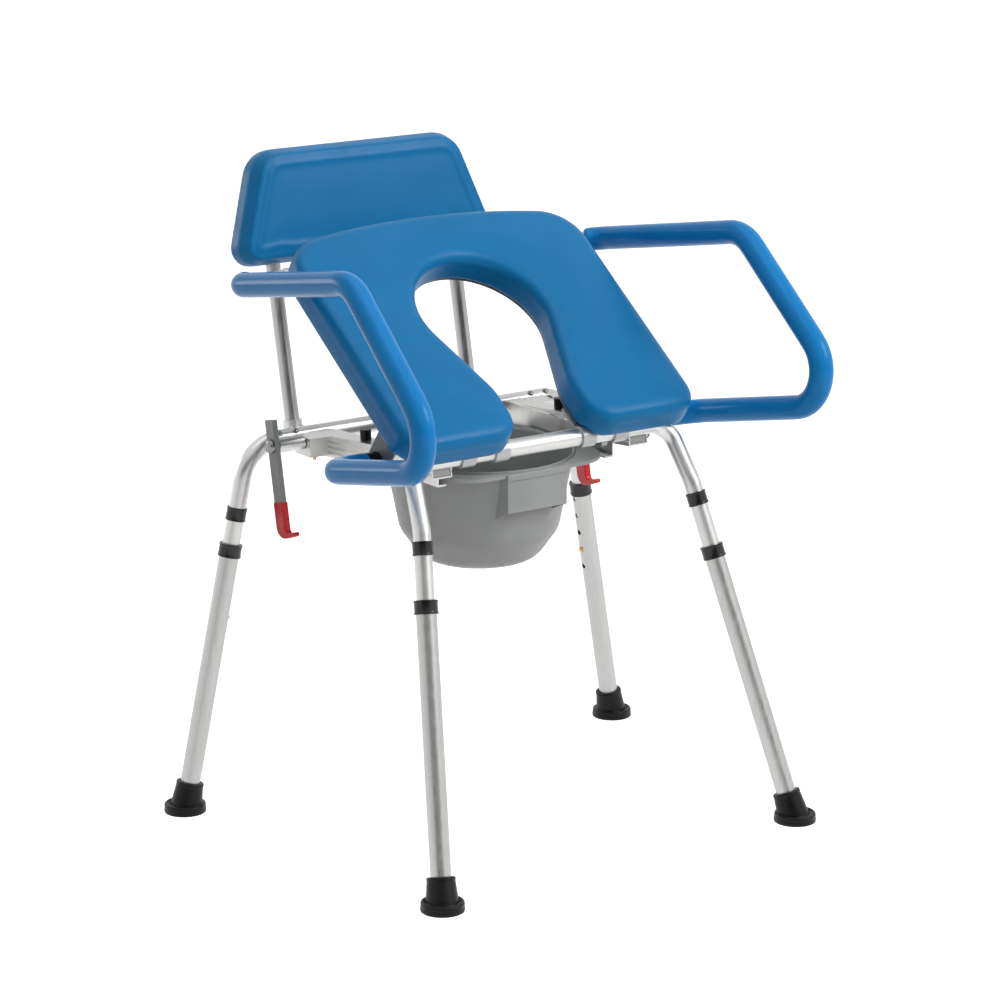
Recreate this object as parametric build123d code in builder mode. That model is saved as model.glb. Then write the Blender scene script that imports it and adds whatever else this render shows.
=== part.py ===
from build123d import *
import os
from math import atan2, cos, hypot, radians, sin, tan

# A shower and commode chair whose padded seat tips up, with its arms, to help a person stand.
# Millimetres. +Z is up, the front of the chair is -Y, left and right are as seen from the front.
# The origin is on the floor, under the middle of the overall box.

# Fits
slide_gap = 0.3        # radial, between pieces that telescope
pin_gap = 0.1          # radial, round a hinge pin
nest_gap = 0.1         # radial, between nested pieces that don't move
past = 1.0             # how far a cut or a weld runs past a face
near = 0.1             # how close counts as the same place

# Tubes
tube_od = 22.2
tube_wall = 1.6
leg_wall = 1.3
cross_wall = 1.5
grip_wall = 4.4
post_od = 19.0
post_wall = 1.5

# Front and rear frames, each an upside-down U
front_foot_x = 272.0
front_foot_y = -296.0
front_corner_x = 195.0
front_bend = 33.0
front_knee_x = 206.0    # each front leg leans back a little more above its knee
front_knee_y = -158.5
front_knee_z = 428.0
knee_bend = 60.0
hinge_y = -118.5       # the front cross tube is the hinge of the seat
hinge_z = 497.5
rear_foot_x = 343.0
rear_foot_y = 185.0
rear_corner_x = 250.0
rear_tube_y = 166.0
rear_tube_z = 476.0
rear_bend = 55.0

# Telescopic legs, measured along the leg from the floor
front_collar_at = 360.5
rear_collar_at = 346.5
front_ring_at = 431.0
rear_ring_at = 394.0
collar_len = 17.0
collar_lip = 4.0
collar_wall = 2.2
ring_len = 17.0
ring_wall = 1.9
leg_end = 12.0
button_drop = 88.0     # from the collar's middle down to the snap button
tube_tail = 25.0       # frame tube below the snap button
hole_pitch = 25.0
holes_above = 3
holes_below = 1
hole_d = 7.0
button_d = 6.4
button_head = 2.6
button_dome = 1.2

# Rubber feet
foot_d = 54.0
foot_flange = 8.0
foot_len = 42.0
foot_base_d = 39.0
foot_top_d = 33.0

# Side rails, hung between the two cross tubes
rail_w = 30.0
rail_h = 28.0
rail_rise = 5.0        # top of the rail above the line of the tube axes
rail_wall = 2.0
groove_w = 3.0
groove_deep = 1.0
groove_count = 3
bumper_y = 48.0
bumper_d = 14.0
bumper_gap = 0.3

# Pail and its rails
pail_y = 16.0
pail_rim_z = 461.0
pail_rim_r = 121.0
pail_shoulder_r = 102.0
pail_shoulder_z = 364.0
pail_base_r = 72.0
pail_base_z = 322.0
pail_wall = 2.5
pail_flange = 4.0
pail_flange_corner = 60.0
pail_rail_wall = 2.0
pail_rail_lip = 11.0
pail_rail_top = 484.0
pail_rail_front = -88.0
pail_rail_back = 132.0
pail_side_flange = 8.0
pail_side_gap = 4.0
pail_drop_gap = 0.3
handle_w = 90.0
handle_h = 49.0
handle_reach = 6.0     # handle plate in front of the pail's rim
handle_wall = 3.0
gusset_drop = 26.0

# Seat, in the hinge's own frame: across, along the seat towards the back, and square to it
seat_tilt = 36.0
pad_bottom = 9.0
pad_t = 44.0
pad_front = -18.0
pad_back = 358.0
pad_half_w = 221.0
pad_back_sag = 24.0
pad_front_corner = 34.0
pad_back_corner = 60.0
pad_top_round = 15.0
pad_under_round = 6.0
hole_r = 90.0
hole_at = 184.0
neck_half_w = 54.0
neck_to = 58.0
neck_blend = 55.0
flare_r = 36.0
hinge_relief = 14.6    # radius of the groove that clears the hinge tube
base_t = 2.5
base_edge = 15.0       # base plate inside the pad's edge
base_hole_gap = 5.0
base_front = 16.0
bush_r = 14.0
bush_w = 20.0
bush_inner_x = 66.0
bush_outer_x = 116.0
bush_tab_len = 44.0
bush_tab_t = 4.5

# Arms, in the same frame as the seat
arm_rear_at = 327.0
arm_top_at = 119.0
arm_top_up = 208.0
arm_front_at = -162.0
arm_front_up = 183.0
arm_low_at = 42.0
arm_low_up = -40.0
arm_rear_out = 57.0     # outside the pad's edge
arm_top_out = 73.0
arm_front_out = 79.0
arm_bend_low = 40.0
arm_bend_front = 50.0
arm_bend_top = 50.0
arm_bend_rear = 40.0
arm_in_cross = 30.0    # arm tube pushed into the cross tube
side_flange_in = 18.0   # inside the pad's edge
side_flange_t = 3.0
side_flange_w = 40.0
side_flange_tail = 16.0
plug_len = 15.0
plug_d = 30.0
grip_start_gap = 2.0
grip_past_bend = 4.0

# Gas springs under the seat
gas_off_rail = 10.0
gas_low_y = -77.5
gas_low_z = 474.5
gas_top_at = 200.0
gas_top_up = -5.0
gas_d = 14.0
gas_wall = 1.6
gas_body_end = 108.0
gas_rod_d = 7.0
gas_eye_d = 16.0
gas_eye_w = 9.0
gas_pin_d = 6.0
gas_top_play = 2.4     # radial play of the rod's eye on its pin
gas_gland = 6.0
gas_piston = 8.0
gas_piston_at = 76.0
lug_t = 2.5
lug_gap = 1.0
pin_flush = 1.0

# Levers
lever_y = 128.5
lever_z = 478.0
lever_lean = 11.0
lever_clear = 11.0     # from the pad's edge
lever_w = 18.0
lever_t = 7.0
lever_up = 33.0
lever_down = 111.0
block_out = 28.0       # pivot block on the side rail
block_len = 36.0
block_h = 24.0
block_drop = 6.0
sleeve_d = 16.0
bolt_d = 8.0
bolt_head_d = 18.0
bolt_head_h = 6.0
bolt_rim = 1.0         # flat edge under the dome
bolt_gap = 0.3
tip_wall = 1.2
tip_len = 40.0
tip_hook = 20.0
tip_hook_t = 6.0

# Backrest
post_x = 140.0
post_y = 230.5         # the foot of the post
post_lean = 11.8
post_len = 340.0
bracket_z = 462.0
bracket_h = 20.0
bracket_w = 18.0
socket_len = 34.0
socket_wall = 3.0
back_from = 236.0      # lower edge of the pad, along the posts
back_h = 147.0
back_low_half = 203.0
back_high_half = 153.0
back_t = 42.0
back_front_of_post = 26.0
back_low_corner = 24.0
back_high_corner = 42.0
back_bevel_w = 18.0
back_bevel_d = 8.0
back_rear_round = 6.0

# Worked out from the sizes above
tube_r = tube_od / 2
tube_bore = tube_od - 2 * tube_wall
leg_bore = tube_od + 2 * slide_gap
leg_od = leg_bore + 2 * leg_wall
cross_bore = tube_od + 2 * nest_gap
cross_od = cross_bore + 2 * cross_wall
grip_bore = tube_od + 2 * nest_gap
grip_od = grip_bore + 2 * grip_wall
base_bottom = pad_bottom - base_t
arm_rear_up = base_bottom - nest_gap - cross_od / 2
arm_rear_x = pad_half_w + arm_rear_out
arm_top_x = pad_half_w + arm_top_out
arm_front_x = pad_half_w + arm_front_out
cross_half = pad_half_w - base_edge
side_flange_x = pad_half_w - side_flange_in
lever_inner_x = pad_half_w + lever_clear
rail_slope = atan2(rear_tube_z - hinge_z, rear_tube_y - hinge_y)
pail_half_w = pail_rim_r + pail_side_flange
pail_rail_x = pail_half_w + pail_side_gap
rail_inner_x = pail_rail_x + pail_rail_wall
rail_x = rail_inner_x + rail_w / 2
rail_outer_x = rail_inner_x + rail_w
gas_x = pail_rail_x - gas_off_rail
pail_rail_z = pail_rim_z - pail_flange - pail_drop_gap

seat_plane = Plane(
    origin=(0, hinge_y, hinge_z),
    x_dir=(1, 0, 0),
    z_dir=(0, -sin(radians(seat_tilt)), cos(radians(seat_tilt))),
)


def seat_point(across, along, up):
    """A place given in the seat's frame, as a place in the chair's frame."""
    return seat_plane.from_local_coords(Vector(across, along, up))


def save(piece, name):
    piece.part.label = name
    export_step(piece.part, f"parts/{name}.step")


def save_pair(right, name, end=""):
    """The right-hand piece as built, and its mirror image for the left."""
    save(right, f"{end}right_{name}")
    with BuildPart() as left:
        mirror(right.part, about=Plane.YZ)
    save(left, f"{end}left_{name}")


def swept_tube(points, bends, outer, bore):
    """A round tube along straight runs joined by bends."""
    with BuildPart() as tube:
        with BuildLine() as run:
            FilletPolyline(*points, radius=bends)
        with BuildSketch(Plane(run.line @ 0, z_dir=run.line % 0)):
            Circle(outer / 2)
            Circle(bore / 2, mode=Mode.SUBTRACT)
        sweep(path=run.line)
    return tube


def leg_frame(foot_x, foot_y, top, facing):
    """The right-hand leg's frame: origin on the floor, Z up the leg, X the way its buttons face."""
    up = Vector(*top) - Vector(foot_x, foot_y, 0)
    return Plane(origin=(foot_x, foot_y, 0), x_dir=facing, z_dir=up.normalized())


def ring(plane, at, length, outer, bore):
    with BuildPart() as piece:
        with BuildSketch(plane.offset(at)):
            Circle(outer / 2)
            Circle(bore / 2, mode=Mode.SUBTRACT)
        extrude(amount=length)
    return piece


def button_rows(collar_at):
    """Heights of a leg's holes, from the lowest up."""
    button_at = collar_at - button_drop
    return [button_at + step * hole_pitch for step in range(-holes_below, holes_above + 1)]


def radial_hole(plane, at, reach):
    """Cuts one hole through the wall on the side that the plane's X faces."""
    across = Plane(plane.from_local_coords(Vector(0, 0, at)), z_dir=plane.x_dir)
    with BuildSketch(across) as hole:
        Circle(hole_d / 2)
    extrude(hole.sketch, amount=reach, mode=Mode.SUBTRACT)


def frame_tube(plane, turns, bends, collar_at):
    """An upside-down U whose ends stand in the lower legs."""
    end = plane.from_local_coords(Vector(0, 0, collar_at - button_drop - tube_tail))
    right = [end] + [Vector(*turn) for turn in turns]
    left = [Vector(-point.X, point.Y, point.Z) for point in reversed(right)]
    with BuildPart() as tube:
        add(swept_tube(right + left, bends + bends[::-1], tube_od, tube_bore).part)
        for step in (0, 1):
            at = collar_at - button_drop + step * hole_pitch
            radial_hole(plane, at, tube_od)
            flip = Plane(
                origin=(-plane.origin.X, plane.origin.Y, 0),
                x_dir=(-plane.x_dir.X, plane.x_dir.Y, plane.x_dir.Z),
                z_dir=(-plane.z_dir.X, plane.z_dir.Y, plane.z_dir.Z),
            )
            radial_hole(flip, at, tube_od)
    return tube


def lower_leg(plane, collar_at):
    with BuildPart() as leg:
        with BuildSketch(plane.offset(leg_end)):
            Circle(leg_od / 2)
            Circle(leg_bore / 2, mode=Mode.SUBTRACT)
        extrude(amount=collar_at + collar_len / 2 - collar_lip - leg_end)
        for at in button_rows(collar_at):
            radial_hole(plane, at, leg_od)
    return leg


def lower_collar(plane, collar_at):
    """A guide bush: a cap over the leg's end with a lip that runs on the frame tube."""
    with BuildPart() as collar:
        with BuildSketch(plane.offset(collar_at - collar_len / 2)):
            Circle(leg_od / 2 + nest_gap + collar_wall)
            Circle(leg_od / 2 + nest_gap, mode=Mode.SUBTRACT)
        extrude(amount=collar_len - collar_lip)
        with BuildSketch(plane.offset(collar_at + collar_len / 2 - collar_lip)):
            Circle(leg_od / 2 + nest_gap + collar_wall)
            Circle(leg_bore / 2, mode=Mode.SUBTRACT)
        extrude(amount=collar_lip)
    return collar


def rubber_foot(plane):
    """A flat flange on the floor and a tapered socket that follows the leg."""
    with BuildPart() as foot:
        with Locations(plane.origin):
            Cylinder(foot_d / 2, foot_flange, align=(Align.CENTER, Align.CENTER, Align.MIN))
        fillet(foot.edges().group_by(Axis.Z)[-1], foot_flange / 3)
        with BuildSketch(plane):
            Circle(foot_base_d / 2)
        with BuildSketch(plane.offset(foot_len)):
            Circle(foot_top_d / 2)
        loft()
        split(bisect_by=Plane.XY, keep=Keep.TOP)
        with BuildSketch(plane.offset(leg_end)):
            Circle(leg_od / 2 + nest_gap)
        extrude(amount=foot_len, mode=Mode.SUBTRACT)
    return foot


def snap_button(plane, at):
    """A domed brass button in the leg's wall."""
    start = leg_bore / 2
    across = Plane(plane.from_local_coords(Vector(0, 0, at)), z_dir=plane.x_dir)
    with BuildPart() as button:
        with BuildSketch(across.offset(start)):
            Circle(button_d / 2)
        extrude(amount=leg_wall + button_head)
        fillet(button.faces().sort_by(Axis(across.origin, across.z_dir))[-1].edges(), button_dome)
    return button


def save_frame_and_legs(end, plane, turns, bends, collar_at, ring_at):
    save(frame_tube(plane, turns, bends, collar_at), f"{end}_frame_tube")
    save_pair(lower_leg(plane, collar_at), "leg", f"{end}_")
    save_pair(lower_collar(plane, collar_at), "collar", f"{end}_")
    ring_od = tube_od + 2 * nest_gap + 2 * ring_wall
    stop = ring(plane, ring_at - ring_len / 2, ring_len, ring_od, tube_od + 2 * nest_gap)
    save_pair(stop, "ring", f"{end}_")
    save_pair(rubber_foot(plane), "foot", f"{end}_")
    save_pair(snap_button(plane, collar_at - button_drop), "button", f"{end}_")


def side_rail():
    """A ribbed hollow extrusion, coped to the two cross tubes, with a block for the lever's pivot."""
    run_y = rear_tube_y - hinge_y
    run_z = rear_tube_z - hinge_z
    along = Plane(origin=(rail_x, hinge_y, hinge_z), x_dir=(1, 0, 0), z_dir=(0, run_y, run_z))
    middle = rail_h / 2 - rail_rise
    with BuildPart() as rail:
        with BuildSketch(along):
            with Locations((0, middle)):
                Rectangle(rail_w, rail_h)
                Rectangle(rail_w - 2 * rail_wall, rail_h - 2 * rail_wall, mode=Mode.SUBTRACT)
            for side in (-1, 1):
                with Locations((side * rail_w / 2, middle)):
                    with GridLocations(0, rail_h / (groove_count + 1), 1, groove_count):
                        Rectangle(2 * groove_deep, groove_w, mode=Mode.SUBTRACT)
        extrude(amount=hypot(run_y, run_z))
        with Locations((rail_outer_x - rail_wall, lever_y, lever_z - block_drop)):
            Box(rail_wall + block_out, block_len, block_h, align=(Align.MIN, Align.CENTER, Align.CENTER))
        with Locations((rail_x, hinge_y, hinge_z), (rail_x, rear_tube_y, rear_tube_z)):
            Cylinder(tube_r + nest_gap, 2 * rail_w, rotation=(0, 90, 0), mode=Mode.SUBTRACT)
    return rail


def rail_top(y):
    """Height of a side rail's top face at a place along the chair."""
    return hinge_z + rail_rise / cos(rail_slope) + tan(rail_slope) * (y - hinge_y)


def bumper():
    """A rubber button on the rail, where the lowered seat comes to rest."""
    foot = Plane(
        origin=(rail_x, bumper_y, rail_top(bumper_y)),
        x_dir=(1, 0, 0),
        z_dir=(0, -sin(rail_slope), cos(rail_slope)),
    )
    with BuildPart() as stop:
        with BuildSketch(foot):
            Circle(bumper_d / 2)
        extrude(amount=rail_h)
        split(bisect_by=Plane.XY.offset(hinge_z + base_bottom - bumper_gap), keep=Keep.BOTTOM)
    return stop


def pail_rail():
    """An angle that hangs on the side rail and carries the pail's flange on its lip."""
    with BuildPart() as angle:
        end = Plane(origin=(pail_rail_x, pail_rail_front, pail_rail_z), x_dir=(1, 0, 0), z_dir=(0, 1, 0))
        with BuildSketch(end):
            with BuildLine():
                Polyline(
                    (pail_rail_wall, pail_rail_wall),
                    (pail_rail_wall, pail_rail_z - pail_rail_top),
                    (0, pail_rail_z - pail_rail_top),
                    (0, 0),
                    (-pail_rail_lip, 0),
                    (-pail_rail_lip, pail_rail_wall),
                    close=True,
                )
            make_face()
        extrude(amount=pail_rail_back - pail_rail_front)
        with Locations((pail_rail_x, gas_low_y, gas_low_z)):
            Cylinder(gas_pin_d / 2, 4 * pail_rail_wall, rotation=(0, 90, 0), mode=Mode.SUBTRACT)
    return angle


def pail():
    """A round grey pail with a flange that slides on the rails and a plate handle in front."""
    section = Plane(origin=(0, pail_y, 0), x_dir=(1, 0, 0), z_dir=(0, -1, 0))
    axis = Axis((0, pail_y, 0), (0, 0, 1))

    def bowl(inset):
        with BuildPart(mode=Mode.PRIVATE) as solid:
            with BuildSketch(section):
                with BuildLine():
                    wall = FilletPolyline(
                        (0, pail_base_z + inset),
                        (pail_base_r - inset / 2, pail_base_z + inset),
                        (pail_shoulder_r - inset, pail_shoulder_z + inset / 2),
                        (pail_rim_r - inset, pail_rim_z),
                        radius=(pail_base_r / 2, pail_base_r / 2),
                    )
                    Polyline(wall @ 1, (0, pail_rim_z), wall @ 0)
                make_face()
            revolve(axis=axis)
        return solid.part

    plate_y = pail_y - pail_rim_r - handle_reach
    with BuildPart() as body:
        add(bowl(0))
        with BuildSketch(Plane(origin=(0, pail_y, pail_rim_z - pail_flange))):
            RectangleRounded(2 * pail_half_w, 2 * (pail_rim_r + pail_flange), pail_flange_corner)
        extrude(amount=pail_flange)
        with BuildSketch(Plane(origin=(0, plate_y, pail_rim_z), x_dir=(1, 0, 0), z_dir=(0, 1, 0))):
            with Locations((0, handle_h / 2)):
                Rectangle(handle_w, handle_h)
        extrude(amount=handle_wall)
        with BuildSketch(Plane(origin=(0, plate_y, pail_rim_z - pail_flange))):
            Rectangle(handle_w, 2 * handle_reach, align=(Align.CENTER, Align.MIN))
        extrude(amount=pail_flange)
        for side in (-1, 1):
            edge = side * (handle_w - handle_wall) / 2
            with BuildSketch(Plane(origin=(edge, plate_y, pail_rim_z), x_dir=(0, 1, 0), z_dir=(1, 0, 0))):
                with BuildLine():
                    Polyline(
                        (0, 0),
                        (pail_rim_r / 2, 0),
                        (pail_rim_r / 2, -handle_h - gusset_drop),
                        (0, -handle_h),
                        close=True,
                    )
                make_face()
            extrude(amount=handle_wall / 2, both=True)
        add(bowl(pail_wall), mode=Mode.SUBTRACT)
    return body


def keyhole(grow):
    """Outline of the seat's opening, in the sketch that is open."""
    with BuildSketch(mode=Mode.PRIVATE) as opening:
        with Locations((0, hole_at)):
            Circle(hole_r + grow)
        with Locations((0, neck_to)):
            Rectangle(2 * (neck_half_w + grow), past)
        make_hull()
        with Locations((0, pad_front)):
            Rectangle(2 * (neck_half_w + grow), 2 * (neck_to - pad_front))
        fillet(opening.vertices().filter_by(lambda v: abs(v.Y - neck_to) < past), neck_blend)
    return opening.sketch


def seat_outline():
    with BuildSketch(mode=Mode.PRIVATE) as outline:
        with BuildLine():
            Polyline(
                (-pad_half_w, pad_back - pad_back_sag),
                (-pad_half_w, pad_front),
                (pad_half_w, pad_front),
                (pad_half_w, pad_back - pad_back_sag),
            )
            ThreePointArc(
                (pad_half_w, pad_back - pad_back_sag),
                (0, pad_back),
                (-pad_half_w, pad_back - pad_back_sag),
            )
        make_face()
        fillet(outline.vertices().group_by(Axis.Y)[0], pad_front_corner)
        fillet(outline.vertices().filter_by(lambda v: v.Y > hole_at), pad_back_corner)
    return outline.sketch


def seat_pad():
    with BuildPart() as pad:
        with BuildSketch(seat_plane.offset(pad_bottom)) as plan:
            add(seat_outline())
            add(keyhole(0), mode=Mode.SUBTRACT)
            front = plan.vertices().filter_by(lambda v: abs(v.Y - pad_front) < near)
            fillet(front.filter_by(lambda v: abs(v.X) < neck_half_w + near), flare_r)
        extrude(amount=pad_t)
        faces = pad.faces().sort_by(Axis(seat_plane.origin, seat_plane.z_dir))
        under_edges = faces[0].edges()
        fillet(faces[-1].edges(), pad_top_round)
        fillet(under_edges, pad_under_round)
        with Locations(seat_plane.origin):
            Cylinder(hinge_relief, 3 * pad_half_w, rotation=(0, 90, 0), mode=Mode.SUBTRACT)
    return pad


def seat_base():
    """A plate under the pad, with side flanges for the arms and lugs for the gas springs."""
    with BuildPart() as base:
        with BuildSketch(seat_plane.offset(base_bottom)) as plan:
            add(offset(seat_outline(), amount=-base_edge, mode=Mode.PRIVATE))
            add(keyhole(base_hole_gap), mode=Mode.SUBTRACT)
            with Locations((0, base_front)):
                Rectangle(3 * pad_half_w, pad_half_w, align=(Align.CENTER, Align.MAX), mode=Mode.SUBTRACT)
        extrude(amount=base_t)
        for side in (-1, 1):
            flange = seat_plane.location * Pos(side * side_flange_x, arm_low_at, base_bottom)
            with Locations(flange):
                Box(
                    side_flange_t,
                    side_flange_w,
                    base_bottom - arm_low_up + side_flange_tail,
                    align=(Align.MIN if side > 0 else Align.MAX, Align.CENTER, Align.MAX),
                )
            lug_x = gas_x + gas_eye_w / 2 + lug_gap
            lug = seat_plane.location * Pos(side * lug_x, gas_top_at, base_bottom)
            with Locations(lug):
                Box(
                    lug_t,
                    gas_eye_d,
                    base_bottom - gas_top_up + gas_eye_d / 2,
                    align=(Align.MIN if side > 0 else Align.MAX, Align.CENTER, Align.MAX),
                )
            pin = seat_plane.location * Pos(side * (lug_x + lug_t / 2), gas_top_at, gas_top_up)
            with Locations(pin * Rot(0, -90 * side, 0)):
                Cylinder(
                    gas_pin_d / 2,
                    gas_eye_w + lug_gap + lug_t / 2 + pin_flush,
                    align=(Align.CENTER, Align.CENTER, Align.MIN),
                )
    return base


def hinge_bushes():
    """Four bushes that turn on the front cross tube, each with a tab under the seat base."""
    with BuildPart() as bushes:
        for x in (-bush_outer_x, -bush_inner_x, bush_inner_x, bush_outer_x):
            with BuildSketch(Plane(seat_point(x, 0, 0), x_dir=seat_plane.y_dir, z_dir=(1, 0, 0))):
                Circle(bush_r)
                with Locations((0, base_bottom - bush_tab_t / 2)):
                    Rectangle(bush_tab_len, bush_tab_t, align=(Align.MIN, Align.CENTER))
                Circle(tube_r + pin_gap, mode=Mode.SUBTRACT)
            extrude(amount=bush_w / 2, both=True)
    return bushes


def arm_points(low_x, rear_x):
    """Corners of the right arm, from its low end forward, up and back to the cross tube."""
    return [
        seat_point(low_x, arm_low_at, arm_low_up),
        seat_point(arm_rear_x, arm_low_at, arm_low_up),
        seat_point(arm_front_x, arm_front_at, arm_front_up),
        seat_point(arm_top_x, arm_top_at, arm_top_up),
        seat_point(arm_rear_x, arm_rear_at, arm_rear_up),
        seat_point(rear_x, arm_rear_at, arm_rear_up),
    ]


arm_bends = (arm_bend_low, arm_bend_front, arm_bend_top, arm_bend_rear)
flange_face_x = side_flange_x + side_flange_t


def arm_tube():
    return swept_tube(arm_points(flange_face_x, cross_half - arm_in_cross), arm_bends, tube_od, tube_bore)


def arm_grip():
    start = flange_face_x + plug_len + grip_start_gap
    end = arm_rear_x - arm_bend_rear - grip_past_bend
    return swept_tube(arm_points(start, end), arm_bends, grip_od, grip_bore)


def arm_plug():
    plane = Plane(seat_point(flange_face_x, arm_low_at, arm_low_up), z_dir=(1, 0, 0))
    return ring(plane, 0, plug_len, plug_d, tube_od + 2 * nest_gap)


def arm_cross_tube():
    plane = Plane(seat_point(-cross_half, arm_rear_at, arm_rear_up), z_dir=(1, 0, 0))
    return ring(plane, 0, 2 * cross_half, cross_od, cross_bore)


gas_low = Vector(gas_x, gas_low_y, gas_low_z)
gas_top = seat_point(gas_x, gas_top_at, gas_top_up)
gas_plane = Plane(origin=gas_low, x_dir=(1, 0, 0), z_dir=(gas_top - gas_low).normalized())
gas_length = (gas_top - gas_low).length


def gas_eye(at, bore):
    """An eye across the spring's end, with its hole along X."""
    place = Plane(gas_plane.from_local_coords(Vector(-gas_eye_w / 2, 0, at)), z_dir=(1, 0, 0))
    with BuildSketch(place) as boss:
        Circle(gas_eye_d / 2)
    extrude(boss.sketch, amount=gas_eye_w)
    with BuildSketch(place) as hole:
        Circle(bore / 2)
    extrude(hole.sketch, amount=gas_eye_w, mode=Mode.SUBTRACT)


def gas_cylinder():
    neck = gas_eye_d / 2 - gas_wall
    with BuildPart() as cylinder:
        with BuildSketch(gas_plane.offset(neck)):
            Circle(gas_d / 2)
        extrude(amount=gas_body_end - neck)
        gas_eye(0, gas_pin_d + 2 * pin_gap)
        with BuildSketch(gas_plane.offset(gas_eye_d)):
            Circle(gas_d / 2 - gas_wall)
        extrude(amount=gas_body_end - gas_gland - gas_eye_d, mode=Mode.SUBTRACT)
        with BuildSketch(gas_plane.offset(gas_body_end - gas_gland - past)):
            Circle(gas_rod_d / 2 + slide_gap)
        extrude(amount=gas_gland + 2 * past, mode=Mode.SUBTRACT)
    return cylinder


def gas_rod():
    with BuildPart() as rod:
        with BuildSketch(gas_plane.offset(gas_piston_at)):
            Circle(gas_d / 2 - gas_wall - slide_gap)
        extrude(amount=gas_piston)
        with BuildSketch(gas_plane.offset(gas_piston_at)):
            Circle(gas_rod_d / 2)
        extrude(amount=gas_length - gas_eye_d / 2 - gas_piston_at + past)
        gas_eye(gas_length, gas_pin_d + 2 * gas_top_play)
    return rod


def gas_stud():
    """A pin through the pail rail that carries the gas spring's lower eye."""
    reach = rail_inner_x - (gas_x - gas_eye_w / 2 - pin_flush)
    with BuildPart() as stud:
        with BuildSketch(Plane(origin=(rail_inner_x, gas_low_y, gas_low_z), z_dir=(-1, 0, 0))):
            Circle(gas_pin_d / 2)
        extrude(amount=reach)
    return stud


lever_plane = Plane(
    origin=(lever_inner_x + lever_t / 2, lever_y, lever_z),
    x_dir=(1, 0, 0),
    z_dir=(0, sin(radians(lever_lean)), cos(radians(lever_lean))),
)
block_face_x = rail_outer_x + block_out
sleeve_start = block_face_x + bolt_gap
sleeve_len = lever_inner_x + lever_t - sleeve_start


def lever():
    """A flat bar welded to a pivot sleeve."""
    with BuildPart() as bar:
        with BuildSketch(lever_plane.offset(-lever_down)):
            Rectangle(lever_t, lever_w)
        extrude(amount=lever_up + lever_down)
        with BuildSketch(Plane(origin=(sleeve_start, lever_y, lever_z), z_dir=(1, 0, 0))):
            Circle(sleeve_d / 2)
        extrude(amount=sleeve_len)
        with BuildSketch(Plane(origin=(sleeve_start, lever_y, lever_z), z_dir=(1, 0, 0))):
            Circle(bolt_d / 2 + pin_gap)
        extrude(amount=sleeve_len, mode=Mode.SUBTRACT)
    return bar


def lever_tip():
    """A red dipped cap on the bar's foot, with a hook that turns forward."""
    outer_w = lever_w + 2 * tip_wall
    outer_t = lever_t + 2 * tip_wall
    with BuildPart() as tip:
        with BuildSketch(lever_plane.offset(-lever_down - tip_hook_t)):
            RectangleRounded(outer_t, outer_w, tip_wall)
        extrude(amount=tip_len + tip_hook_t)
        with BuildSketch(lever_plane.offset(-lever_down - tip_hook_t)):
            with Locations((0, outer_w / 2)):
                Rectangle(outer_t, outer_w + tip_hook, align=(Align.CENTER, Align.MAX))
        extrude(amount=tip_hook_t)
        with BuildSketch(lever_plane.offset(-lever_down)):
            Rectangle(lever_t + 2 * nest_gap, lever_w + 2 * nest_gap)
        extrude(amount=tip_len, mode=Mode.SUBTRACT)
    return tip


def lever_bolt():
    """A shouldered bolt from the pivot block through the lever's sleeve, with a domed head."""
    with BuildPart() as bolt:
        with BuildSketch(Plane(origin=(block_face_x, lever_y, lever_z), z_dir=(1, 0, 0))):
            Circle(bolt_d / 2)
        extrude(amount=bolt_gap + sleeve_len + bolt_gap)
        head_x = sleeve_start + sleeve_len + bolt_gap
        with BuildSketch(Plane(origin=(head_x, lever_y, lever_z), z_dir=(1, 0, 0))):
            Circle(bolt_head_d / 2)
        extrude(amount=bolt_head_h)
        fillet(bolt.faces().sort_by(Axis.X)[-1].edges(), bolt_head_h - bolt_rim)
    return bolt


post_plane = Plane(
    origin=(post_x, post_y, bracket_z - socket_len / 2),
    x_dir=(1, 0, 0),
    z_dir=(0, sin(radians(post_lean)), cos(radians(post_lean))),
)


def back_post():
    return ring(post_plane, 0, post_len, post_od, post_od - 2 * post_wall)


def post_bracket():
    """A bar from the rear cross tube to a socket that holds the post's foot."""
    socket_od = post_od + 2 * nest_gap + 2 * socket_wall
    with BuildPart() as bracket:
        with BuildSketch(post_plane):
            Circle(socket_od / 2)
        extrude(amount=socket_len)
        with Locations((post_x, rear_tube_y, bracket_z)):
            Box(bracket_w, post_y - rear_tube_y, bracket_h, align=(Align.CENTER, Align.MIN, Align.CENTER))
        with BuildSketch(post_plane):
            Circle(post_od / 2 + nest_gap)
        extrude(amount=socket_len, mode=Mode.SUBTRACT)
        with Locations((post_x, rear_tube_y, rear_tube_z)):
            Cylinder(tube_r + nest_gap, 2 * bracket_w, rotation=(0, 90, 0), mode=Mode.SUBTRACT)
    return bracket


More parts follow.
